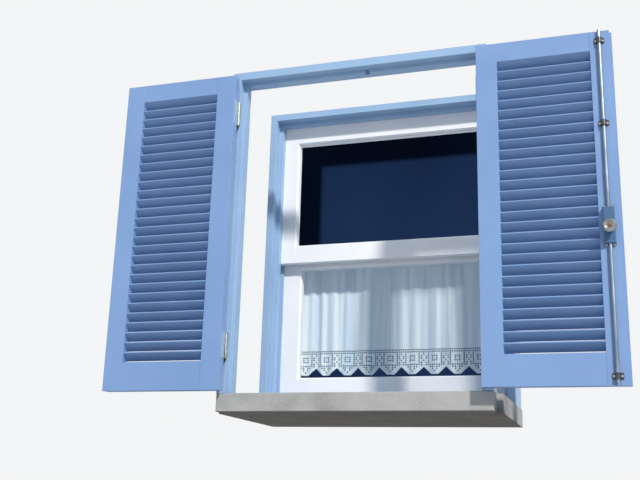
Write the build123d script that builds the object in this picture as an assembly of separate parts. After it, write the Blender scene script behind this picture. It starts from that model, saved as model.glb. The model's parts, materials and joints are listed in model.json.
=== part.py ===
from build123d import *
import math
import os

os.makedirs("parts", exist_ok=True)

# A window with a pair of louvred shutters: a sill slab, a rebated shutter frame flush with the
# wall face, and a sliding sash window set deep behind it. Sizes are in millimetres. X runs
# along the wall, Y into it and Z up; y = 0 is the wall face and z = 0 the sill's underside.
# The shutters are drawn folded back against the wall, the bolt withdrawn, the sash down.

# Sill slab
slab_t = 65.0
slab_side = 3.0           # how far the slab's body runs past the window lining
slab_back = 2.0
arris_r = 4.0

# Shutter frame
rebate_half = 459.0       # centre line to a rebate face
frame_t = 30.0
frame_d = 80.0
rebate_d = 38.0
stop_w = 11.0

# Shutter leaves
leaf_h = 1200.0
leaf_t = 36.0
hinge_gap = 2.0
foot_gap = 5.0
head_gap = 4.0
lap = 3.0                 # each leaf passes the centre line by this much
meet_gap = 2.0
stile_w = 73.0
top_rail_h = 70.0
bottom_rail_h = 103.0
slat_count = 27
slat_t = 6.0
slat_tilt = 42.0
slat_inset = 0.5
slat_seat = 6.0
tenon_t = 12.0
tenon_l = 45.0
tenon_shoulder = 10.0
edge_r = 1.2

# Hinges with one knuckle on the frame and one on the leaf
knuckle_r = 7.0
wall_play = 2.0           # knuckle to wall face
hinge_h = 92.0
hinge_drop = 98.0         # leaf's top edge to the upper hinge
hinge_rise = 118.0        # leaf's bottom edge to the lower hinge
knuckle_play = 0.3
pin_r = 4.0
pin_play = 0.05
pin_depth = 38.0
wing_t = 2.0
wing_w = 31.0
tip_l = 15.0

# Countersunk screws
screw_r = 1.75
screw_head_r = 3.5
screw_head_h = 2.0
screw_l = 20.0
slot_w = 0.8
slot_d = 0.7

# Bolt on the right leaf
rod_in = 41.0             # rod axis to the free edge
rod_r = 5.5
rod_off = 8.0             # rod axis to the leaf's face
rod_proud = 2.0
throw = 18.0
rod_play = 0.1
case_w = 36.0
case_below = 49.0
case_above = 73.0
case_d = 18.0
case_wall = 2.5
knob_up = 497.0           # leaf's bottom edge to the knob's axis
knob_r = 22.5
knob_l = 33.0
rose_r = 16.0
rose_t = 4.0
spindle_r = 5.0
gear_play = 0.15
ear_t = 3.0
ear_r = 6.0
ear_x = 12.4
guide_w = 34.0
guide_h = 20.0
guide_r = 9.0
guide_rise = 28.0         # leaf's bottom edge to the lowest guide
guide_drops = (338.0, 38.0)   # leaf's top edge to the others
bridge_h = 6.0
socket_play = 1.0
socket_d = 22.0

# Window lining
lining_half = 507.0
lining_t = 29.0
lining_head_t = 27.0
head_stop_h = 15.0
lining_h = 1225.0
lining_set = 448.0        # wall face to the lining's front
lining_step = 41.0
inner_stop_w = 16.0
inner_stop_d = 31.0
window_sill_h = 41.0
sill_fall = 8.0
part_bead_d = 9.0
room_bead_d = 15.0
lining_tail = 6.0
anchor_r = 4.0
anchor_places = (185.0, 1035.0)

# Sashes
sash_t = 38.0
sash_play = 1.0
side_play = 2.0
sash_lap = 59.0           # lower sash's top above the upper sash's foot
upper_stile_w = 80.0
lower_stile_w = 90.0
meeting_rail_h = 77.0
upper_rail_h = 91.0
lower_rail_h = 88.0
lip_h = 29.0
pane_t = 4.0
pane_bed = 8.0
pane_edge = 2.0
putty_d = 12.0
lift_x = 200.0
lift_w = 60.0
lift_h = 24.0
lift_reach = 22.0
plate_t = 3.0

# Curtain on the lower sash
curtain_rod_r = 4.0
curtain_rod_up = 583.0    # sash's bottom edge to the rod's axis
curtain_off = 35.0        # rod axis to the sash's room face
bracket_in = 55.0         # bracket to the sash's edge
curtain_in = 15.0         # curtain's edge to a bracket's eye
curtain_drop = 479.0
curtain_head = 10.0
curtain_t = 16.0
curtain_play = 0.3

leaf_z0 = slab_t + foot_gap
leaf_z1 = leaf_z0 + leaf_h
head_z = leaf_z1 + head_gap
frame_half = rebate_half + frame_t
leaf_w = rebate_half - hinge_gap + lap
pin_x = rebate_half - hinge_gap / 2
pin_y = -(knuckle_r + wall_play)
face_y = 2 * pin_y - leaf_t
lining_z1 = slab_t + lining_h
sash_h = (lining_h - window_sill_h + sash_lap) / 2
channel_half = lining_half - lining_t
stop_y = lining_set + lining_step
upper_y = stop_y + inner_stop_d
part_y = upper_y + sash_t
lower_y = part_y + part_bead_d + sash_play
room_y = lower_y + sash_t
bead_y = room_y + sash_play
lining_back = bead_y + room_bead_d + lining_tail
slab_d = lining_back + slab_back


def span(x0, x1, y0, y1, z0, z1):
    """Box between pairs of limits, given in either order."""
    middle = Pos((x0 + x1) / 2, (y0 + y1) / 2, (z0 + z1) / 2)
    return middle * Box(abs(x1 - x0), abs(y1 - y0), abs(z1 - z0))


def along_x(points, x0, x1):
    """Prism along X on a section of (y, z) points."""
    section = make_face(Polyline(*points, close=True))
    return extrude(Plane((min(x0, x1), 0, 0), x_dir=(0, 1, 0), z_dir=(1, 0, 0)) * section,
                   amount=abs(x1 - x0))


def soften(shape, axis, radius):
    """Rounds the edges that run along one axis."""
    return fillet(shape.edges().filter_by(axis), radius)


def save(name, *shapes):
    """Writes one node, a single solid or a group of separate ones, centred on the sill's depth."""
    placed = [Pos(0, -slab_d / 2, 0) * s for s in shapes]
    export_step(placed[0] if len(placed) == 1 else Compound(placed), f"parts/{name}.step")


def screw_blank():
    """Screw outline with its head flush at z = 0, pointing down."""
    head = Pos(0, 0, -screw_head_h / 2) * Cone(screw_r, screw_head_r, screw_head_h)
    shank_l = screw_l - screw_head_h
    return head + Pos(0, 0, -screw_head_h - shank_l / 2) * Cylinder(screw_r, shank_l)


blank = screw_blank()
screw = blank - Box(3 * screw_head_r, slot_w, 2 * slot_d)
into_plus_x, into_minus_x = Rot(0, -90, 0), Rot(0, 90, 0)
into_plus_y, into_minus_y = Rot(90, 0, 0), Rot(-90, 0, 0)

# Hinges, drawn with the leaf closed. The pin stands in the frame's knuckle and the leaf's
# knuckle turns on it.
split = hinge_h / 2
hinge_floors = {"upper": leaf_z1 - hinge_drop - hinge_h, "lower": leaf_z0 + hinge_rise}
wing_screw_z = [hinge_h * k for k in (0.15, 0.5, 0.85)]


def wing(side, z0, on_frame):
    """One hinge wing with its knuckle; side is +1 on the right and -1 on the left."""
    edge = rebate_half if on_frame else rebate_half - hinge_gap
    back = edge + wing_t if on_frame else edge - wing_t
    low = z0 if on_frame else z0 + split + knuckle_play
    high = z0 + split if on_frame else z0 + hinge_h
    plate = span(side * edge, side * back, 0, wing_w, z0, z0 + hinge_h)
    neck = span(side * edge, side * back, pin_y, 0, low, high)
    barrel = Pos(side * pin_x, pin_y, (low + high) / 2) * Cylinder(knuckle_r, high - low)
    bore_r = pin_r if on_frame else pin_r + pin_play
    bore_top = z0 + split if on_frame else z0 + split + knuckle_play + pin_depth
    bore = Pos(side * pin_x, pin_y, (z0 + bore_top) / 2) * Cylinder(bore_r, bore_top - z0)
    cut = plate + neck + barrel - bore
    for dz in wing_screw_z:
        turn = into_plus_x if (side > 0) == on_frame else into_minus_x
        cut -= Pos(side * edge, wing_w / 2, z0 + dz) * turn * blank
    return cut


def wing_screws(side, z0, on_frame, piece):
    """The screws of one wing, or their holes' outlines."""
    edge = rebate_half if on_frame else rebate_half - hinge_gap
    turn = into_plus_x if (side > 0) == on_frame else into_minus_x
    return [Pos(side * edge, wing_w / 2, z0 + dz) * turn * piece for dz in wing_screw_z]


def wing_bed(side, z0, on_frame):
    edge = rebate_half if on_frame else rebate_half - hinge_gap
    back = edge + wing_t if on_frame else edge - wing_t
    return span(side * edge, side * back, -1, wing_w, z0, z0 + hinge_h)


def hinge_pin(side, z0):
    """Pin with a pointed tip below the frame's knuckle."""
    top = z0 + split + pin_depth - knuckle_play
    shaft = Pos(0, 0, (z0 + top) / 2) * Cylinder(pin_r, top - z0)
    collar = Pos(0, 0, z0 - tip_l / 8) * Cylinder(knuckle_r * 0.8, tip_l / 4)
    tip = Pos(0, 0, z0 - tip_l * 5 / 8) * Cone(knuckle_r * 0.15, knuckle_r * 0.7, tip_l * 3 / 4)
    return Pos(side * pin_x, pin_y, 0) * (shaft + collar + tip)


def folded(side, shape):
    """Turns a closed leaf's piece about its pin to lie back against the wall."""
    pin = Pos(side * pin_x, pin_y, 0)
    return pin * Rot(0, 0, 180) * pin.inverse() * shape


# Shutter leaves, drawn closed, the outer face at y = 0
hinge_edge = rebate_half - hinge_gap
free_edge = hinge_edge - leaf_w
louvre_a = hinge_edge - stile_w
louvre_b = free_edge + stile_w
louvre_z0 = leaf_z0 + bottom_rail_h
louvre_z1 = leaf_z1 - top_rail_h
pitch = (louvre_z1 - louvre_z0) / (slat_count + 1)
tilt = math.radians(slat_tilt)
fall = leaf_t * math.tan(tilt)
slat_w = (leaf_t - 2 * slat_inset - slat_t * math.sin(tilt)) / math.cos(tilt)
tongue_w = 2 * lap + meet_gap
tongue_t = (leaf_t - meet_gap) / 2


def slat(side, k):
    """Slat k from the bottom, its high edge on the leaf's inner face."""
    start = min(side * (louvre_a + slat_seat), side * (louvre_b - slat_seat))
    length = abs(louvre_a - louvre_b) + 2 * slat_seat
    centre_z = louvre_z0 + pitch * k - slat_w / 2 * math.sin(tilt)
    plane = Plane((start, leaf_t / 2, centre_z), x_dir=(0, math.cos(tilt), math.sin(tilt)),
                  z_dir=(1, 0, 0))
    return extrude(plane * RectangleRounded(slat_w, slat_t, slat_t * 0.3), amount=length)


def rail(side, section, tenon_z0, tenon_z1):
    """A leaf's rail with its two tenons; also returns the tenons."""
    body = along_x(section, side * louvre_a, side * louvre_b)
    y0 = (leaf_t - tenon_t) / 2
    tenon = span(side * (louvre_a + tenon_l), side * (louvre_b - tenon_l), y0, y0 + tenon_t,
                 tenon_z0, tenon_z1)
    return body + tenon, tenon


def leaf(side):
    """The timber of one leaf by name."""
    slats = [slat(side, k + 1) for k in range(slat_count)]
    low, low_tenon = rail(side, [(0, leaf_z0), (leaf_t, leaf_z0), (leaf_t, louvre_z0),
                                 (0, louvre_z0 - fall)],
                          leaf_z0 + tenon_shoulder, louvre_z0 - fall)
    top, top_tenon = rail(side, [(0, louvre_z1 - fall), (leaf_t, louvre_z1), (leaf_t, leaf_z1),
                                 (0, leaf_z1)], louvre_z1, leaf_z1 - tenon_shoulder)
    hinge_stile = soften(span(side * hinge_edge, side * louvre_a, 0, leaf_t, leaf_z0, leaf_z1),
                         Axis.Z, edge_r)
    free_stile = soften(span(side * free_edge, side * louvre_b, 0, leaf_t, leaf_z0, leaf_z1),
                        Axis.Z, edge_r)
    rebate_y = (-1, leaf_t - tongue_t) if side < 0 else (tongue_t, leaf_t + 1)
    free_stile -= span(side * (free_edge - 1), side * (free_edge + tongue_w), *rebate_y,
                       leaf_z0 - 1, leaf_z1 + 1)
    hinge_stile -= [low_tenon, top_tenon] + slats
    free_stile -= [low_tenon, top_tenon] + slats
    for z0 in hinge_floors.values():
        hinge_stile -= [wing_bed(side, z0, False)] + wing_screws(side, z0, False, blank)
    return {"hinge_stile": hinge_stile, "free_stile": free_stile, "top_rail": top,
            "bottom_rail": low, "slats": slats}


# Bolt, drawn on the folded right leaf
rod_x = 2 * pin_x - free_edge - rod_in
rod_y = face_y - rod_off
closed_rod_x = 2 * pin_x - rod_x
closed_rod_y = 2 * pin_y - rod_y
knob_z = leaf_z0 + knob_up
case_z0 = knob_z - case_below
case_z1 = knob_z + case_above
case_front = face_y - case_d
gear_r = throw / (math.pi / 2)
gear_y0 = rod_y - rod_r - 0.5
gear_y1 = rod_y + rod_r - 0.5
cavity_half = case_w / 2 - case_wall
rack_in = gear_r + gear_play
rack_out = cavity_half - 0.3
rack_l = throw + 2.0


def along_y(x, z, y0, y1, r):
    return Pos(x, (y0 + y1) / 2, z) * Rot(90, 0, 0) * Cylinder(r, abs(y1 - y0))


guide_z = [leaf_z0 + guide_rise] + [leaf_z1 - drop for drop in guide_drops]
guide_spots = [(rod_x + s * ear_x, z) for z in guide_z for s in (-1, 1)]
ear_spots = [(rod_x + s * ear_x, z) for z in (case_z0 - 3, case_z1 + 3) for s in (-1, 1)]
bolt_spots = [Pos(x, face_y - ear_t, z) * into_plus_y for x, z in guide_spots + ear_spots]


def bolt_case():
    """Cover of the bolt's gear with its rose and four ears."""
    box = span(rod_x - case_w / 2, rod_x + case_w / 2, case_front, face_y, case_z0, case_z1)
    box = fillet(box.faces().sort_by(Axis.Y)[0].edges(), 3.0)
    box += along_y(rod_x, knob_z, case_front - rose_t, case_front + case_wall / 2, rose_r)
    for x, z in ear_spots:
        box += along_y(x, z, face_y - ear_t, face_y, ear_r)
    box -= span(rod_x - cavity_half, rod_x + cavity_half, case_front + case_wall, face_y,
                case_z0 + case_wall, case_z1 - case_wall)
    box -= Pos(rod_x, rod_y, knob_z) * Cylinder(rod_r + rod_play, 2 * leaf_h)
    box -= along_y(rod_x, knob_z, case_front - 2 * rose_t, face_y, spindle_r + rod_play)
    return box - [spot * blank for spot in bolt_spots]


def bolt_rod(up):
    """A rod with the rack that meets the gear on its own side of the knob's axis."""
    end = leaf_z1 + rod_proud if up > 0 else leaf_z0 - rod_proud
    start = knob_z + up * (rack_l - 2)
    rack = span(rod_x + up * rack_in, rod_x + up * rack_out, gear_y0, gear_y1,
                knob_z - up * rack_l, start + up * bridge_h)
    bridge = span(rod_x - up * rod_r, rod_x + up * rack_out, gear_y0, gear_y1, start,
                  start + up * bridge_h)
    rod = Pos(rod_x, rod_y, (start + end) / 2) * Cylinder(rod_r, abs(end - start))
    nose = rod.faces().sort_by(Axis.Z)[-1 if up > 0 else 0].edges()
    return chamfer(nose, 1.0) + rack + bridge


def bolt_guide(z):
    """Saddle over the rod with a screwed foot on each side."""
    foot = span(rod_x - guide_w / 2, rod_x + guide_w / 2, face_y - ear_t, face_y,
                z - guide_h / 2, z + guide_h / 2)
    foot = soften(foot, Axis.Y, 3.0)
    arch = span(rod_x - guide_r, rod_x + guide_r, rod_y, face_y, z - guide_h / 2, z + guide_h / 2)
    arch += Pos(rod_x, rod_y, z) * Cylinder(guide_r, guide_h)
    saddle = foot + arch - Pos(rod_x, rod_y, z) * Cylinder(rod_r + rod_play, 2 * guide_h)
    saddle -= span(rod_x - guide_w, rod_x + guide_w, face_y, face_y + guide_r, z - guide_h, z + guide_h)
    return saddle - [spot * blank for spot in bolt_spots]


rose_y = case_front - rose_t
knob_back = rose_y - 1.0
knob_front = knob_back - knob_l
knob_screw_l = 14.0


def turned(outline):
    """Solid turned about the knob's axis on (radius, y) points."""
    face = make_face(Polyline(*[(r, y) for r, y in outline], close=True))
    return Pos(rod_x, 0, knob_z) * revolve(face, Axis.Y)


def knob():
    """Round knob with a hub behind and a dished front."""
    return turned([(spindle_r, knob_back), (9, knob_back), (9, knob_back - 8), (14, knob_back - 14),
                   (knob_r - 2, knob_back - 18), (knob_r, knob_back - 21), (knob_r, knob_front + 4),
                   (knob_r - 3, knob_front), (knob_r - 7, knob_front), (spindle_r + 3, knob_front + 4),
                   (spindle_r, knob_front + 4)])


def knob_screw(grow=0.0):
    """Round-headed screw in the end of the spindle."""
    seat = knob_front + 4
    shank = along_y(rod_x, knob_z, seat, seat + knob_screw_l, 2.0)
    if grow:
        return shank
    dome = turned([(0, seat), (spindle_r + 2, seat), (spindle_r + 1.4, seat - 1.6), (0, seat - 2.6)])
    slot = span(rod_x - 10, rod_x + 10, seat - 4, seat - 1.4, knob_z - 0.6, knob_z + 0.6)
    return dome + shank - slot


def spindle():
    """Shaft with the gear drawn at its pitch circle."""
    shaft = along_y(rod_x, knob_z, gear_y0, knob_front + 4, spindle_r)
    gear = along_y(rod_x, knob_z, gear_y0, gear_y1, gear_r - gear_play)
    return shaft + gear - knob_screw(grow=1.0)


# Shutter frame
def outer_jamb(side):
    post = span(side * rebate_half, side * frame_half, 0, frame_d, slab_t, head_z)
    stop = span(side * (rebate_half - stop_w), side * rebate_half, rebate_d, frame_d, slab_t, head_z)
    jamb = soften(post + stop, Axis.Z, edge_r)
    for z0 in hinge_floors.values():
        jamb -= [wing_bed(side, z0, True)] + wing_screws(side, z0, True, blank)
    return jamb


stop_half = rebate_half - stop_w
outer_head = span(-frame_half, frame_half, 0, frame_d, head_z, head_z + frame_t)
outer_head += span(-stop_half, stop_half, rebate_d, frame_d, head_z - stop_w, head_z)
notch_half = rod_r + 3.0
outer_head -= span(closed_rod_x - notch_half, closed_rod_x + notch_half, rebate_d - 1,
                   closed_rod_y + rod_r + 8.0, head_z - stop_w - 1, head_z)
outer_head -= Pos(closed_rod_x, closed_rod_y, head_z + socket_d / 2) * Cylinder(rod_r + socket_play,
                                                                           socket_d)

# Sill slab, narrower across its nose between the wall's faces
slab = span(-lining_half - slab_side, lining_half + slab_side, frame_d, slab_d, 0, slab_t)
nose = span(-frame_half, frame_half, 0, frame_d, 0, slab_t)
nose = fillet(nose.faces().sort_by(Axis.Y)[0].edges(), arris_r)
slab += nose
slab -= Pos(closed_rod_x, closed_rod_y, slab_t - socket_d / 2) * Cylinder(rod_r + socket_play, socket_d)

save("sill_slab", slab)
save("outer_head", outer_head)
for side, hand in ((-1, "left"), (1, "right")):
    save(f"outer_jamb_{hand}", outer_jamb(side))
    for place, z0 in hinge_floors.items():
        save(f"hinge_frame_wing_{hand}_{place}", wing(side, z0, True))
        save(f"hinge_leaf_wing_{hand}_{place}", folded(side, wing(side, z0, False)))
    screws = [s for z0 in hinge_floors.values() for s in wing_screws(side, z0, False, screw)]
    save(f"{hand}_leaf_hinge_screws", *[folded(side, s) for s in screws])
    timber = leaf(side)
    for name, piece in timber.items():
        if name == "slats":
            save(f"{hand}_leaf_slats", *[folded(side, s) for s in piece])
            continue
        piece = folded(side, piece)
        if side > 0:
            piece -= [spot * blank for spot in bolt_spots]
        save(f"{hand}_leaf_{name}", piece)
save("hinge_pins", *[hinge_pin(s, z0) for s in (-1, 1) for z0 in hinge_floors.values()])
save("frame_hinge_screws", *[s for side in (-1, 1) for z0 in hinge_floors.values()
                             for s in wing_screws(side, z0, True, screw)])

save("bolt_case", bolt_case())
save("bolt_guides", *[bolt_guide(z) for z in guide_z])
save("bolt_screws", *[spot * screw for spot in bolt_spots])
save("bolt_spindle", spindle())
save("bolt_knob", knob())
save("bolt_knob_screw", knob_screw())
save("bolt_rod_upper", bolt_rod(1))
save("bolt_rod_lower", bolt_rod(-1))

# Window lining
inner_stop_half = channel_half - inner_stop_w
window_jambs = {}
for side, hand in ((-1, "left"), (1, "right")):
    jamb = span(side * channel_half, side * lining_half, lining_set, lining_back, slab_t, lining_z1)
    jamb += span(side * inner_stop_half, side * channel_half, stop_y, upper_y, slab_t, lining_z1)
    jamb = soften(jamb, Axis.Z, edge_r)
    for z in anchor_places:
        hole = Rot(0, 90, 0) * Cylinder(anchor_r, 3 * lining_t)
        jamb -= Pos(side * (lining_half - lining_t / 2), lower_y + sash_t / 2, slab_t + z) * hole
    window_jambs[hand] = jamb
    save(f"window_jamb_{hand}", jamb)
window_head = span(-lining_half, lining_half, lining_set, lining_back, lining_z1,
                   lining_z1 + lining_head_t)
window_head += span(-inner_stop_half, inner_stop_half, stop_y, upper_y,
                    lining_z1 - head_stop_h, lining_z1)
save("window_head", window_head)
sill_z = slab_t + window_sill_h
window_sill = along_x([(lining_set, slab_t), (lining_back, slab_t), (lining_back, sill_z),
                       (upper_y, sill_z), (lining_set, sill_z - sill_fall)],
                      -channel_half, channel_half)
save("window_sill", window_sill - list(window_jambs.values()))
for side, hand in ((-1, "left"), (1, "right")):
    for name, y0, depth in (("parting_bead", part_y, part_bead_d), ("room_bead", bead_y, room_bead_d)):
        bead = span(side * inner_stop_half, side * channel_half, y0, y0 + depth, sill_z, lining_z1)
        save(f"{name}_{hand}", soften(bead, Axis.Z, edge_r))


def sash(z0, z1, y0, half, stile, low_h, top_h):
    """A sash's timber, pane and putty, the putty on its outer face."""
    sight = half - stile
    glass_z0, glass_z1 = z0 + low_h, z1 - top_h
    bed = span(-sight - pane_bed, sight + pane_bed, y0 - 1, y0 + putty_d + pane_t,
               glass_z0 - pane_bed, glass_z1 + pane_bed)
    edge = pane_bed - pane_edge
    pane = span(-sight - edge, sight + edge, y0 + putty_d, y0 + putty_d + pane_t,
                glass_z0 - edge, glass_z1 + edge)
    middle_z = (glass_z0 + glass_z1) / 2
    plane = Plane((0, y0 + putty_d, middle_z), x_dir=(1, 0, 0), z_dir=(0, -1, 0))
    opening = extrude(plane * Rectangle(2 * sight, glass_z1 - glass_z0), amount=putty_d,
                      taper=-math.degrees(math.atan(edge / putty_d)))
    putty = span(-sight - pane_bed, sight + pane_bed, y0, y0 + putty_d,
                 glass_z0 - pane_bed, glass_z1 + pane_bed) - opening
    tenon_y = y0 + putty_d + pane_t + 4
    pieces = {}
    tenons = []
    for name, r0, r1 in (("low_rail", z0, glass_z0), ("top_rail", glass_z1, z1)):
        tenon = span(-half + stile / 3, half - stile / 3, tenon_y, tenon_y + tenon_t,
                     r0 + tenon_shoulder, r1 - tenon_shoulder)
        tenons.append(tenon)
        pieces[name] = span(-sight, sight, y0, y0 + sash_t, r0, r1) + tenon - bed
    for side, hand in ((-1, "left"), (1, "right")):
        post = soften(span(side * sight, side * half, y0, y0 + sash_t, z0, z1), Axis.Z, edge_r)
        pieces[f"stile_{hand}"] = post - tenons - bed
    pieces["pane"] = pane
    pieces["putty"] = putty
    return pieces


upper_z0 = lining_z1 - sash_h
upper = sash(upper_z0, lining_z1, upper_y, channel_half, upper_stile_w, meeting_rail_h, upper_rail_h)
for name, piece in upper.items():
    save(f"upper_sash_{name}", piece)

lower_z0 = sill_z
lower_z1 = lower_z0 + sash_h
lower_half = channel_half - side_play
lower = sash(lower_z0, lower_z1, lower_y, lower_half, lower_stile_w, lower_rail_h, meeting_rail_h)
lip_half = lower_half - lower_stile_w
lower["top_rail"] += span(-lip_half, lip_half, part_y + sash_play, lower_y, lower_z1 - lip_h, lower_z1)

# Finger lifts, curtain rod and curtain, all carried by the lower sash
lift_z = lower_z0 + lower_rail_h / 2
rod_z = lower_z0 + curtain_rod_up
curtain_y = room_y + curtain_off
bracket_x = lower_half - bracket_in
eye_r = 2 * curtain_rod_r
curtain_half = bracket_x - eye_r / 2 - curtain_in


def lift(x):
    """Hooked finger lift on the bottom rail."""
    plate = span(x - lift_w / 2, x + lift_w / 2, room_y, room_y + plate_t,
                 lift_z - lift_h / 2, lift_z + lift_h / 2)
    shelf = span(x - lift_w / 4, x + lift_w / 4, room_y, room_y + lift_reach,
                 lift_z - lift_h / 2, lift_z - lift_h / 2 + plate_t)
    lip = span(x - lift_w / 4, x + lift_w / 4, room_y + lift_reach - plate_t, room_y + lift_reach,
               lift_z - lift_h / 2, lift_z - lift_h / 2 + 3 * plate_t)
    return soften(plate, Axis.Y, plate_t) + shelf + lip


def bracket(side):
    """Eye on an arm that holds the curtain rod off the sash."""
    x = side * bracket_x
    plate = span(x - eye_r, x + eye_r, room_y, room_y + plate_t, rod_z - 3 * eye_r, rod_z + eye_r)
    arm = span(x - eye_r / 2, x + eye_r / 2, room_y, curtain_y, rod_z - eye_r / 2, rod_z + eye_r / 2)
    eye = Pos(x, curtain_y, rod_z) * Rot(0, 90, 0) * Cylinder(eye_r, eye_r)
    bore = Pos(x, curtain_y, rod_z) * Rot(0, 90, 0) * Cylinder(curtain_rod_r, 2 * eye_r)
    return soften(plate, Axis.Y, plate_t) + arm + eye - bore


sash_spots = [Pos(s * lift_x + t * lift_w * 0.38, room_y + plate_t, lift_z) * into_minus_y
              for s in (-1, 1) for t in (-1, 1)]
sash_spots += [Pos(s * bracket_x, room_y + plate_t, rod_z - 2 * eye_r) * into_minus_y for s in (-1, 1)]
sash_holes = [spot * blank for spot in sash_spots]
for name in ("low_rail", "top_rail", "stile_left", "stile_right"):
    lower[name] -= sash_holes
for name, piece in lower.items():
    save(f"lower_sash_{name}", piece)
save("sash_lifts", *[lift(s * lift_x) - sash_holes for s in (-1, 1)])
save("curtain_brackets", *[bracket(s) - sash_holes for s in (-1, 1)])
save("sash_screws", *[spot * screw for spot in sash_spots])

rod_half = bracket_x + eye_r / 2
curtain_rod = Rot(0, 90, 0) * Cylinder(curtain_rod_r, 2 * rod_half)
for side in (-1, 1):
    curtain_rod += Pos(side * (rod_half + eye_r / 2), 0, 0) * Rot(0, 90, 0) * Cylinder(
        curtain_rod_r * 1.6, eye_r)
save("curtain_rod", Pos(0, curtain_y, rod_z) * curtain_rod)
curtain = span(-curtain_half, curtain_half, curtain_y - curtain_t / 2, curtain_y + curtain_t / 2,
               rod_z - curtain_drop, rod_z + curtain_head)
sleeve = Pos(0, curtain_y, rod_z) * Rot(0, 90, 0) * Cylinder(curtain_rod_r + curtain_play, 3 * curtain_half)
save("curtain", curtain - sleeve)
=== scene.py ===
import json
import math

import bmesh
import bpy
from mathutils import Matrix, Vector


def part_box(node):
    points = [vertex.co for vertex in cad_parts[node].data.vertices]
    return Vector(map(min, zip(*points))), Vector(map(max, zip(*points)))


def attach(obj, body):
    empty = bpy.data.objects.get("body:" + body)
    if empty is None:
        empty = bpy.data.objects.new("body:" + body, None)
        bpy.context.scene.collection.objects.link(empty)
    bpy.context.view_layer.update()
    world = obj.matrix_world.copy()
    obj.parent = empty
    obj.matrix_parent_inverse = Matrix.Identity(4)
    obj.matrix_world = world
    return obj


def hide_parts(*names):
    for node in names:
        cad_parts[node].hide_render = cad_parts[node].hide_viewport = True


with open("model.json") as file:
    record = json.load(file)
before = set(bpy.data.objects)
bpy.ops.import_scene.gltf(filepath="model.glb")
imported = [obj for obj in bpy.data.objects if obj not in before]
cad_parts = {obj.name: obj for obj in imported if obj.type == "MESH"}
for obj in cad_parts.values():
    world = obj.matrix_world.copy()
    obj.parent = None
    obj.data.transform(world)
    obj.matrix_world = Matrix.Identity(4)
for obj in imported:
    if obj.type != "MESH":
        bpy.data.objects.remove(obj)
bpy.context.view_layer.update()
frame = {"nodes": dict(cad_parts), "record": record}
nodes = frame["nodes"]
record = frame["record"]


# Materials
def material(name):
    m = bpy.data.materials.new(name)
    m.use_nodes = True
    tree = m.node_tree
    coords = tree.nodes.new("ShaderNodeTexCoord")
    return m, tree, tree.nodes["Principled BSDF"], coords.outputs["Object"]


def noise(tree, coords, scale, detail=4.0, stretch=(1, 1, 1), roughness=0.5):
    mapping = tree.nodes.new("ShaderNodeMapping")
    mapping.inputs["Scale"].default_value = stretch
    tree.links.new(coords, mapping.inputs["Vector"])
    n = tree.nodes.new("ShaderNodeTexNoise")
    n.inputs["Scale"].default_value = scale
    n.inputs["Detail"].default_value = detail
    n.inputs["Roughness"].default_value = roughness
    tree.links.new(mapping.outputs["Vector"], n.inputs["Vector"])
    return n.outputs["Fac"]


def ramp(tree, fac, *stops):
    r = tree.nodes.new("ShaderNodeValToRGB")
    while len(r.color_ramp.elements) < len(stops):
        r.color_ramp.elements.new(0.5)
    for e, (at, colour) in zip(r.color_ramp.elements, stops):
        e.position = at
        e.color = (*colour, 1.0) if hasattr(colour, "__len__") else (colour, colour, colour, 1.0)
    tree.links.new(fac, r.inputs["Fac"])
    return r.outputs["Color"]


def math_node(tree, op, a, b):
    n = tree.nodes.new("ShaderNodeMath")
    n.operation = op
    for socket, value in zip(n.inputs, (a, b)):
        if isinstance(value, (int, float)):
            socket.default_value = value
        else:
            tree.links.new(value, socket)
    return n.outputs[0]


def bump(tree, shader, height, strength, distance):
    b = tree.nodes.new("ShaderNodeBump")
    b.inputs["Strength"].default_value = strength
    b.inputs["Distance"].default_value = distance
    tree.links.new(height, b.inputs["Height"])
    tree.links.new(b.outputs["Normal"], shader.inputs["Normal"])


def paint(name, low, high, grain, rough=0.42):
    """Brushed-on satin paint over timber: grain is the direction of the brush marks."""
    m, tree, bsdf, coords = material(name)
    stretch = {"x": (0.05, 1, 1), "z": (1, 1, 0.05)}[grain]
    cloud = noise(tree, coords, 5.0, 5.0)
    tree.links.new(ramp(tree, cloud, (0.3, low), (0.7, high)), bsdf.inputs["Base Color"])
    marks = noise(tree, coords, 420.0, 3.0, stretch)
    peel = noise(tree, coords, 260.0, 2.0)
    tree.links.new(ramp(tree, marks, (0.3, rough - 0.06), (0.7, rough + 0.08)), bsdf.inputs["Roughness"])
    bump(tree, bsdf, math_node(tree, "ADD", marks, math_node(tree, "MULTIPLY", peel, 0.6)), 0.22, 0.0006)
    return m


def metal(name, low, high, rough, scale=60.0, pits=0.12):
    """Metal with a cloudy finish and fine pits."""
    m, tree, bsdf, coords = material(name)
    cloud = noise(tree, coords, scale, 5.0)
    tree.links.new(ramp(tree, cloud, (0.35, low), (0.65, high)), bsdf.inputs["Base Color"])
    tree.links.new(ramp(tree, cloud, (0.3, rough - 0.07), (0.7, rough + 0.1)), bsdf.inputs["Roughness"])
    bsdf.inputs["Metallic"].default_value = 1.0
    bump(tree, bsdf, noise(tree, coords, 900.0, 2.0), pits, 0.0003)
    return m


def stone(name):
    """Rough grey stone, coarse clouds and fine grain together."""
    m, tree, bsdf, coords = material(name)
    big = noise(tree, coords, 7.0, 6.0)
    fine = noise(tree, coords, 190.0, 5.0, roughness=0.7)
    both = math_node(tree, "ADD", math_node(tree, "MULTIPLY", big, 0.55),
                     math_node(tree, "MULTIPLY", fine, 0.45))
    grey = ramp(tree, both, (0.36, (0.25, 0.245, 0.235)), (0.5, (0.36, 0.355, 0.345)),
                (0.64, (0.43, 0.425, 0.41)))
    tree.links.new(grey, bsdf.inputs["Base Color"])
    tree.links.new(ramp(tree, fine, (0.3, 0.78), (0.7, 0.95)), bsdf.inputs["Roughness"])
    bump(tree, bsdf, both, 0.55, 0.003)
    return m


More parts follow.
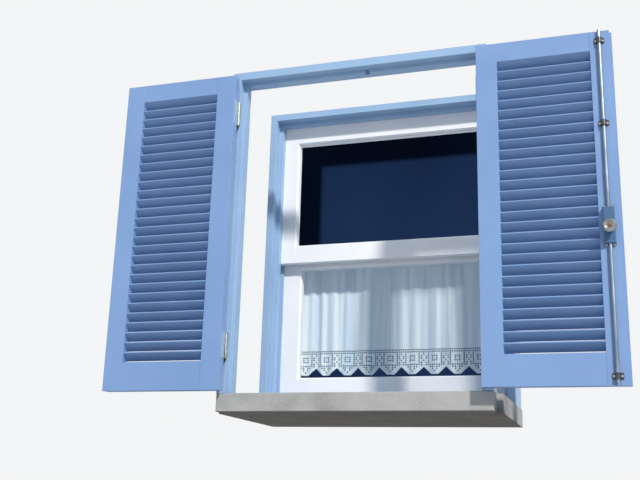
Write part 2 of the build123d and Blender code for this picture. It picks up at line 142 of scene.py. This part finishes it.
def hinge(name, steel, cover, axis_x, axis_y, radius):
    """Steel bare on the knuckles, which lie around an upright axis, and painted over on the wings."""
    m, tree, bsdf, coords = material(name)
    split = tree.nodes.new("ShaderNodeSeparateXYZ")
    tree.links.new(coords, split.inputs["Vector"])
    dx = math_node(tree, "SUBTRACT", math_node(tree, "ABSOLUTE", split.outputs["X"], 0.0), axis_x)
    dy = math_node(tree, "SUBTRACT", split.outputs["Y"], axis_y)
    off = math_node(tree, "ADD", math_node(tree, "MULTIPLY", dx, dx), math_node(tree, "MULTIPLY", dy, dy))
    bare = math_node(tree, "LESS_THAN", off, radius ** 2)
    cloud = noise(tree, coords, 90.0, 5.0)
    mix = tree.nodes.new("ShaderNodeMixRGB")
    tree.links.new(bare, mix.inputs["Fac"])
    tree.links.new(ramp(tree, cloud, (0.35, cover[0]), (0.65, cover[1])), mix.inputs["Color1"])
    tree.links.new(ramp(tree, cloud, (0.35, steel[0]), (0.65, steel[1])), mix.inputs["Color2"])
    tree.links.new(mix.outputs["Color"], bsdf.inputs["Base Color"])
    tree.links.new(bare, bsdf.inputs["Metallic"])
    tree.links.new(ramp(tree, cloud, (0.3, 0.30), (0.7, 0.44)), bsdf.inputs["Roughness"])
    bump(tree, bsdf, noise(tree, coords, 900.0, 2.0), 0.12, 0.0003)
    return m


square_mirroring = 0.0262                          # what such glass mirrors when it is met square


def pane(name):
    """Thin clear glass. Light passes straight through it. The face that a ray enters by mirrors nothing
    when the ray comes nearly square, and more the flatter it comes."""
    m, tree, bsdf, coords = material(name)
    tree.nodes.remove(bsdf)
    out = tree.nodes["Material Output"]
    dust = noise(tree, coords, 9.0, 4.0)
    clear = tree.nodes.new("ShaderNodeBsdfTransparent")
    tint = ramp(tree, dust, (0.3, (0.960, 0.972, 0.978)), (0.7, (0.980, 0.986, 0.990)))
    tree.links.new(tint, clear.inputs["Color"])
    gloss = tree.nodes.new("ShaderNodeBsdfGlossy")
    tree.links.new(ramp(tree, dust, (0.3, 0.02), (0.7, 0.05)), gloss.inputs["Roughness"])
    # Painted reflection: the gloss is tinted blue, as if a blue sky were mirrored in it.
    gloss.inputs["Color"].default_value = (0.62, 0.74, 0.90, 1)
    fresnel = tree.nodes.new("ShaderNodeFresnel")
    fresnel.inputs["IOR"].default_value = 1.38
    geometry = tree.nodes.new("ShaderNodeNewGeometry")
    entering = math_node(tree, "SUBTRACT", 1.0, geometry.outputs["Backfacing"])
    past_square = math_node(tree, "SUBTRACT", fresnel.outputs["Fac"], square_mirroring)
    mirrored = math_node(tree, "MAXIMUM", past_square, 0.0)
    mix = tree.nodes.new("ShaderNodeMixShader")
    tree.links.new(math_node(tree, "MULTIPLY", mirrored, entering), mix.inputs["Fac"])
    tree.links.new(clear.outputs["BSDF"], mix.inputs[1])
    tree.links.new(gloss.outputs["BSDF"], mix.inputs[2])
    tree.links.new(mix.outputs["Shader"], out.inputs["Surface"])
    return m


def cloth(name, clear_share):
    """Fine woven cotton with painted shade of its folds in darker blue-grey streaks, and a little light
    passing through it.
    """
    m, tree, bsdf, coords = material(name)
    weave = noise(tree, coords, 900.0, 2.0)
    # Painted shade: the darker blue-grey of these streaks down the cloth stands in for the shade in its
    # folds.
    painted_fold_shade = noise(tree, coords, 34.0, 3.0, (1, 0.3, 0.04))
    white = ramp(tree, painted_fold_shade, (0.34, (0.62, 0.74, 0.83)), (0.64, (0.86, 0.92, 0.94)))
    tree.links.new(white, bsdf.inputs["Base Color"])
    bsdf.inputs["Roughness"].default_value = 0.9
    bsdf.inputs["Sheen Weight"].default_value = 0.15
    bump(tree, bsdf, weave, 0.3, 0.0004)
    through = tree.nodes.new("ShaderNodeBsdfTranslucent")
    through.inputs["Color"].default_value = (0.74, 0.84, 0.93, 1)
    soft = tree.nodes.new("ShaderNodeMixShader")
    soft.inputs["Fac"].default_value = 0.10
    clear = tree.nodes.new("ShaderNodeBsdfTransparent")
    mix = tree.nodes.new("ShaderNodeMixShader")
    mix.inputs["Fac"].default_value = clear_share
    tree.links.new(bsdf.outputs["BSDF"], soft.inputs[1])
    tree.links.new(through.outputs["BSDF"], soft.inputs[2])
    tree.links.new(soft.outputs["Shader"], mix.inputs[1])
    tree.links.new(clear.outputs["BSDF"], mix.inputs[2])
    tree.links.new(mix.outputs["Shader"], tree.nodes["Material Output"].inputs["Surface"])
    return m


shutter_low, shutter_high = (0.172, 0.287, 0.512), (0.197, 0.318, 0.556)
frame_low, frame_high = (0.262, 0.400, 0.590), (0.300, 0.445, 0.640)
pin_lo, pin_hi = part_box("hinge_pins")
pin_r = (pin_hi.y - pin_lo.y) / 2
bare_r = 0.0074                                    # the knuckles' radius and a little more
white_low, white_high = (0.79, 0.80, 0.82), (0.85, 0.855, 0.86)
steel_low, steel_high = (0.27, 0.27, 0.265), (0.46, 0.46, 0.45)
looks = {
    "shutter_paint": paint("shutter_paint_upright", shutter_low, shutter_high, "z"),
    "shutter_paint_x": paint("shutter_paint_across", shutter_low, shutter_high, "x"),
    "frame_paint": paint("frame_paint_upright", frame_low, frame_high, "z"),
    "frame_paint_x": paint("frame_paint_across", frame_low, frame_high, "x"),
    "sash_paint": paint("sash_paint_upright", white_low, white_high, "z"),
    "sash_paint_x": paint("sash_paint_across", white_low, white_high, "x"),
    "putty": paint("putty_paint", white_low, white_high, "x", 0.6),
    "hinge_steel": hinge("hinge_steel", (steel_low, steel_high), (frame_low, frame_high),
                         pin_hi.x - pin_r, (pin_lo.y + pin_hi.y) / 2, bare_r),
    "pin_steel": metal("pin_steel", (0.06, 0.06, 0.065), (0.12, 0.12, 0.12), 0.4),
    "screw_steel": metal("screw_steel", (0.45, 0.45, 0.44), (0.62, 0.62, 0.61), 0.4),
    "bolt_steel": metal("bolt_steel", (0.27, 0.275, 0.28), (0.40, 0.405, 0.41), 0.18, 40.0, 0.05),
    # Painted reflection: the blue in this steel's colour stands in for a blue sky mirrored in it.
    "rod_steel": metal("rod_steel", (0.25, 0.31, 0.38), (0.33, 0.40, 0.48), 0.32, 14.0, 0.04),
    "guide_steel": metal("guide_steel", (0.045, 0.052, 0.060), (0.10, 0.11, 0.12), 0.4),
    "aged_brass": metal("aged_brass", (0.12, 0.075, 0.035), (0.27, 0.18, 0.09), 0.32),
    "brass_fittings": metal("brass_fittings", (0.44, 0.34, 0.17), (0.58, 0.47, 0.26), 0.32),
    "bolt_paint": paint("bolt_paint", (0.052, 0.120, 0.235), (0.072, 0.155, 0.290), "z", 0.34),
    "sill_stone": stone("sill_stone"),
    "glass": pane("pane_glass"),
    "curtain_lace": cloth("curtain_cotton", 0.08),
}
lying_pieces = ("rail", "head", "slats", "window_sill")
of_node = {"hinge_pins": "pin_steel", "bolt_knob_screw": "aged_brass"}
for part in record["subparts"]:
    node, slot = part["node"], part["material_slot"]
    flat = slot + "_x" in looks and any(word in node for word in lying_pieces)
    mesh = nodes[node].data
    mesh.materials.clear()
    mesh.materials.append(looks[of_node.get(node, slot + "_x" if flat else slot)])


# Curtain
solid_lo, solid_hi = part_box("curtain")
rod_lo, rod_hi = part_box("curtain_rod")
rod_y = (rod_lo.y + rod_hi.y) / 2
rod_z = (rod_lo.z + rod_hi.z) / 2
rod_gap = 0.0062                                   # the rod's axis to the cloth, on the rod
hang_gap = 0.002                                   # and where the cloth hangs, to its mean plane
drawn_in = 0.05                                    # how far below the rod its folds are drawn in
drawn_share = 0.85                                 # and by how much, at the rod
rise = rod_z - solid_lo.z
cloth_t = 0.0007
casing = 0.012                                     # what hangs behind the rod
period = 0.0913                                    # from point to point
cells_across = 10
half_across = 5
cell = period / cells_across
row = 0.0087
hole_edge = 0.0017
valley_x = 0.0285                                  # one of the valleys between the points
lace_rows = 12
head_rows = 2                                      # rows of holes at the lace's top
square_row = 4                                     # the row through the squares' middles
point_row = 7                                      # the first row of the points' own pattern
valley_row = 8                                     # the row that the valleys reach up to
cloth_rows = 16                                    # faces from the lace up to the rod
turn_rows = 4                                      # and half way round it
columns = int((solid_hi.x - solid_lo.x) / cell)
left_x = -columns * cell / 2


def folds(x, apart, sway, sway_apart, start):
    """Folds side by side along x, closer and wider apart in turn."""
    swayed = sway * math.sin(2 * math.pi * x / sway_apart + start)
    return math.sin(2 * math.pi * x / apart + swayed)


def gathers(x, z):
    """How far the cloth stands off its mean plane, in folds that widen downwards."""
    down = max(0.0, min(1.0, (rod_z - z) / 0.45))
    wide = folds(x, 0.121, 1.1, 0.53, 0.4)
    mid = folds(x, 0.059, 1.6, 0.29, 0.8 * z)
    fine = folds(x, 0.031, 2.0, 0.21, 1.0)
    return 0.0030 * down * wide + 0.0034 * mid + 0.0013 * (1 - 0.6 * down) * fine


def cloth_point(x, s):
    """Point of the cloth at x, s metres up from its tips along its path over the rod."""
    if s <= rise:
        z = solid_lo.z + s
        near = max(0.0, 1 - (rod_z - z) / drawn_in)
        near = near * near * (3 - 2 * near)
        back = hang_gap + (rod_gap - hang_gap) * near
        return Vector((x, rod_y - back + gathers(x, z) * (1 - drawn_share * near), z))
    turn = (s - rise) / rod_gap
    if turn <= math.pi:
        return Vector((x, rod_y - rod_gap * math.cos(turn), rod_z + rod_gap * math.sin(turn)))
    return Vector((x, rod_y + rod_gap, rod_z - (s - rise - math.pi * rod_gap)))


# Columns from a valley that are holes in a crossing, by row, and columns from a point that are in a point
CROSSING = {2: (0, 2), 3: (1, 2), 4: (1, 2), 5: (0, 2), 6: (1, 2), 7: (1, 2)}
POINT = {7: (0, 1, 2), 8: (1, 2), 9: (1,), 10: (0,)}


def lace_cell(i, j):
    """What the crochet has in column i of row j, counted down from the lace's top: solid, a hole, nothing,
    or a cell cut along its diagonal or notched where two points meet."""
    from_valley = round((left_x + (i + 0.5) * cell - valley_x) / cell)
    k = (from_valley + half_across) % cells_across - half_across
    step = abs(k)                                  # columns from the nearest valley
    inner = half_across - step                     # and from the nearest point
    below = j - valley_row
    if j < head_rows:
        return "hole"
    if below == 0 and step == 0:
        return "notch"
    if below > 0 and step < below:
        return "none"
    if below > 0 and step == below:
        return "cut_right" if k > 0 else "cut_left"
    if step <= 2 and j in CROSSING:                # solid cells crossing on open ground
        return "hole" if step in CROSSING[j] else "solid"
    if j < point_row:                              # a solid square with a ring of holes
        return "hole" if max(inner, abs(j - square_row)) == 1 else "solid"
    return "hole" if inner in POINT.get(j, ()) else "solid"


def flat_curtain():
    """Grid of the curtain laid out flat, x across and z up from its tips, the lace a cell to a face."""
    top = lace_rows * row
    heights = [row * n for n in range(lace_rows)]
    heights += [top + (rise - top) * n / cloth_rows for n in range(cloth_rows + 1)]
    heights += [rise + rod_gap * math.pi * n / turn_rows for n in range(1, turn_rows + 1)]
    heights.append(heights[-1] + casing)
    rows = len(heights) - 1
    bm = bmesh.new()
    bmesh.ops.create_grid(bm, x_segments=columns, y_segments=rows, size=0.5)
    for v in bm.verts:
        level = round((v.co.y + 0.5) * rows)
        v.co = (left_x + (v.co.x + 0.5) * columns * cell, 0.0, heights[level])
    bm.normal_update()
    return bm


def crochet(bm):
    """Opens the lace in the flat curtain: its holes, and what lies between and below its points."""
    cells = {}
    for face in bm.faces:
        middle = face.calc_center_median()
        if middle.z < lace_rows * row:
            column = int((middle.x - left_x) / cell)
            kind = lace_cell(column, lace_rows - 1 - int(middle.z / row))
            cells.setdefault(kind, []).append(face)
    bmesh.ops.inset_individual(bm, faces=cells["hole"], thickness=hole_edge, use_even_offset=True)
    waste = cells["hole"] + cells["none"]
    for kind, corner_of in (("cut_right", min), ("cut_left", max)):
        for face in cells[kind]:
            foot = sorted(face.verts, key=lambda v: v.co.z)[:2]
            corner = corner_of(foot, key=lambda v: v.co.x)
            ends = sorted(face.verts, key=lambda v: (v.co - corner.co).length)[1:3]
            other = bmesh.utils.face_split(face, *ends)[0]
            waste.append(face if corner in face.verts else other)
    quarters = bmesh.ops.poke(bm, faces=cells["notch"])["faces"]
    lowest = min(quarter.calc_center_median().z for quarter in quarters)
    waste += [quarter for quarter in quarters if quarter.calc_center_median().z < lowest + row / 10]
    bmesh.ops.delete(bm, geom=waste, context="FACES")


def build_curtain():
    """Curtain hung over its rod, in gathers, with the crocheted edge below."""
    bm = flat_curtain()
    crochet(bm)
    bmesh.ops.subdivide_edges(bm, edges=list(bm.edges), cuts=1, use_grid_fill=True)
    for v in bm.verts:
        v.co = cloth_point(v.co.x, v.co.z)
    bmesh.ops.recalc_face_normals(bm, faces=bm.faces)
    bmesh.ops.solidify(bm, geom=list(bm.faces), thickness=cloth_t)
    bmesh.ops.recalc_face_normals(bm, faces=bm.faces)
    for face in bm.faces:
        face.smooth = True
    mesh = bpy.data.meshes.new("curtain_cloth")
    bm.to_mesh(mesh)
    bm.free()
    mesh.materials.append(looks["curtain_lace"])
    obj = bpy.data.objects.new("curtain_cloth", mesh)
    bpy.context.scene.collection.objects.link(obj)
    return obj


curtain = build_curtain()
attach(curtain, "lower_sash")
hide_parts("curtain")


# Stage
def stage_mesh(name, bm, mat):
    """Builds a mesh object from a sheet, with its material, and links it into the scene."""
    mesh = bpy.data.meshes.new(name)
    bm.to_mesh(mesh)
    bm.free()
    mesh.materials.append(mat)
    obj = bpy.data.objects.new(name, mesh)
    bpy.context.scene.collection.objects.link(obj)


def stage_material(name, shader_of, seen_by):
    """Material that is there only for some rays: for "front" those that meet its front, and for
    "camera" only the camera's rays that meet its front nearly square."""
    m, tree, bsdf, coords = material(name)
    shown = shader_of(tree, bsdf, coords)
    geometry = tree.nodes.new("ShaderNodeNewGeometry")
    fac = geometry.outputs["Backfacing"]
    if seen_by == "camera":
        path = tree.nodes.new("ShaderNodeLightPath")
        weight = tree.nodes.new("ShaderNodeLayerWeight")
        square = math_node(tree, "LESS_THAN", weight.outputs["Facing"], nearly_square)
        seen = math_node(tree, "MULTIPLY", path.outputs["Is Camera Ray"], square)
        shows = math_node(tree, "GREATER_THAN", math_node(tree, "SUBTRACT", seen, fac), 0.5)
        fac = math_node(tree, "SUBTRACT", 1.0, shows)
    clear = tree.nodes.new("ShaderNodeBsdfTransparent")
    mix = tree.nodes.new("ShaderNodeMixShader")
    tree.links.new(fac, mix.inputs["Fac"])
    tree.links.new(shown, mix.inputs[1])
    tree.links.new(clear.outputs["BSDF"], mix.inputs[2])
    tree.links.new(mix.outputs["Shader"], tree.nodes["Material Output"].inputs["Surface"])
    return m


def direct_rays(tree, path):
    """1 for rays from the camera, mirrored ones and ones that pass through, 0 for the others."""
    bent = math_node(tree, "MAXIMUM", path.outputs["Is Glossy Ray"], path.outputs["Is Transmission Ray"])
    return math_node(tree, "MAXIMUM", path.outputs["Is Camera Ray"], bent)


def floor_shader(tree, bsdf, coords):
    """Plain pale floor."""
    cloud = noise(tree, coords, 0.6, 2.0)
    pale = ramp(tree, cloud, (0.3, (0.62, 0.62, 0.61)), (0.7, (0.65, 0.65, 0.64)))
    tree.links.new(pale, bsdf.inputs["Base Color"])
    bsdf.inputs["Roughness"].default_value = 0.9
    return bsdf.outputs["BSDF"]


def painted_dark_room_shader(tree, bsdf, coords):
    """Painted dark room: a faint blue glow in place of an unlit room, darker still in a band at its left
    and top, a painted reflection of a shaded reveal and lintel.
    """
    glow = tree.nodes.new("ShaderNodeEmission")
    cloud = noise(tree, coords, 1.2, 2.0)
    dark = ramp(tree, cloud, (0.3, (0.008, 0.021, 0.060)), (0.7, (0.014, 0.034, 0.094)))
    tree.links.new(dark, glow.inputs["Color"])
    place = tree.nodes.new("ShaderNodeSeparateXYZ")
    tree.links.new(coords, place.inputs["Vector"])
    inside = math_node(tree, "MINIMUM", math_node(tree, "SUBTRACT", place.outputs["X"], reflection_band_x),
                       math_node(tree, "SUBTRACT", reflection_band_z, place.outputs["Z"]))
    lit = math_node(tree, "MAXIMUM", inside, math_node(tree, "SUBTRACT", reflection_band_foot, place.outputs["Z"]))
    tree.links.new(ramp(tree, lit, (0.0, reflection_band_light), (0.02, 1.0)), glow.inputs["Strength"])
    return glow.outputs["Emission"]


slab_lo, slab_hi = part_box("sill_slab")
jamb_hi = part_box("outer_jamb_right")[1]
floor_far = 14.0
floor_z = -0.0006
hole_in = 0.002                                    # the floor's hole, inside the slab's edges
hole_front = slab_lo.y + hole_in
hole_back = slab_hi.y - hole_in
body_x = slab_hi.x - hole_in
nose_x = jamb_hi.x - hole_in
nose_back = jamb_hi.y + hole_in


def floor_sheet():
    """Floor with a hole in the outline of the slab, which is narrower across its nose."""
    xs = (-floor_far, -body_x, -nose_x, nose_x, body_x, floor_far)
    ys = (-floor_far, hole_front, nose_back, hole_back, floor_far)
    bm = bmesh.new()
    bmesh.ops.create_grid(bm, x_segments=len(xs) - 1, y_segments=len(ys) - 1, size=0.5)
    for v in bm.verts:
        column = round((v.co.x + 0.5) * (len(xs) - 1))
        line = round((v.co.y + 0.5) * (len(ys) - 1))
        v.co = (xs[column], ys[line], floor_z)
    hole = []
    for face in bm.faces:
        middle = face.calc_center_median()
        half = nose_x if middle.y < nose_back else body_x
        if abs(middle.x) < half and hole_front < middle.y < hole_back:
            hole.append(face)
    bmesh.ops.delete(bm, geom=hole, context="FACES")
    return bm


stage_mesh("floor", floor_sheet(), stage_material("floor_pale", floor_shader, "front"))

upper_pane_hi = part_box("upper_sash_pane")[1]
lower_pane_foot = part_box("lower_sash_pane")[0].z
card_behind = 0.012                                # the curtain's back to the card
past_side, past_foot, past_top = 0.05, 0.04, 0.06  # how far the card runs past the panes
card_y = solid_hi.y + card_behind
card_half = upper_pane_hi.x + past_side
card_foot = lower_pane_foot - past_foot
card_top = upper_pane_hi.z + past_top
nearly_square = 0.23                               # Facing, past which the card isn't shown
# Painted reflection of a shaded reveal and lintel: a darker band at the card's left and top.
reflection_band_x, reflection_band_z, reflection_band_foot = -0.348, 1.150, 0.72    # where the darker band ends
reflection_band_light = 0.14


def painted_dark_room_sheet():
    """Card behind the panes, its front to the outside."""
    half_h = (card_top - card_foot) / 2
    place = (Matrix.Translation((0, card_y, card_foot + half_h)) @ Matrix.Rotation(math.pi / 2, 4, "X")
             @ Matrix.Diagonal((card_half, half_h, 1, 1)))
    bm = bmesh.new()
    bmesh.ops.create_grid(bm, x_segments=1, y_segments=1, size=1, matrix=place)
    return bm


# Painted shade of a dark room behind the panes, on a card only the camera sees.
stage_mesh("painted_dark_room_card", painted_dark_room_sheet(), stage_material("painted_dark_room", painted_dark_room_shader, "camera"))

world = bpy.data.worlds.new("studio")
bpy.context.scene.world = world
world.use_nodes = True
wt = world.node_tree
wt.nodes.clear()
out = wt.nodes.new("ShaderNodeOutputWorld")
path = wt.nodes.new("ShaderNodeLightPath")
seen = wt.nodes.new("ShaderNodeBackground")
seen.inputs["Color"].default_value = (0.90, 0.91, 0.92, 1)
seen.inputs["Strength"].default_value = 1.0
fill = wt.nodes.new("ShaderNodeBackground")
sky = wt.nodes.new("ShaderNodeTexCoord")
height = wt.nodes.new("ShaderNodeSeparateXYZ")
wt.links.new(sky.outputs["Generated"], height.inputs["Vector"])
level = math_node(wt, "MULTIPLY", math_node(wt, "ADD", height.outputs["Z"], 1.0), 0.5)
wt.links.new(ramp(wt, level, (0.44, (0.20, 0.19, 0.18)), (0.56, (0.66, 0.80, 1.0))), fill.inputs["Color"])
fill.inputs["Strength"].default_value = 0.55
pick = wt.nodes.new("ShaderNodeMixShader")
wt.links.new(direct_rays(wt, path), pick.inputs["Fac"])
wt.links.new(fill.outputs["Background"], pick.inputs[1])
wt.links.new(seen.outputs["Background"], pick.inputs[2])
wt.links.new(pick.outputs["Shader"], out.inputs["Surface"])


def area_light(name, at, target, size, power, colour):
    """Round lamp at a place, turned to its target."""
    data = bpy.data.lights.new(name, "AREA")
    data.shape = "DISK"
    data.size = size
    data.energy = power
    data.color = colour
    obj = bpy.data.objects.new(name, data)
    bpy.context.scene.collection.objects.link(obj)
    obj.location = at
    obj.rotation_euler = (Vector(target) - Vector(at)).to_track_quat("-Z", "Y").to_euler()


target = Vector((0.0, -0.2, 0.72))
to_sun = Vector((0.538, -0.611, 0.581))
key_far = 40.0
key_wide = 2.5
key_power = 11.2                                   # watts, times its distance squared
area_light("key", target + key_far * to_sun, target, key_wide, key_power * key_far ** 2, (1.0, 0.97, 0.92))

# Camera, solved from the photograph's edges
lens_mm, sensor_mm = 52.97, 36.0
camera_at = (0.9210, -3.3949, -0.3099)
turn_z, turn_x, turn_y = (math.radians(angle) for angle in (18.62, 15.76, -1.70))
data = bpy.data.cameras.new("camera")
data.lens = lens_mm
data.sensor_width = sensor_mm
camera = bpy.data.objects.new("camera", data)
bpy.context.scene.collection.objects.link(camera)
camera_turn = (Matrix.Rotation(turn_z, 3, "Z") @ Matrix.Rotation(turn_x, 3, "X")
               @ Matrix.Rotation(turn_y, 3, "Y"))
right, ahead, up = camera_turn.col
pose = Matrix((right, up, -ahead)).transposed().to_4x4()
pose.translation = camera_at
camera.matrix_world = pose
bpy.context.scene.camera = camera
bpy.context.scene.view_settings.view_transform = "Standard"
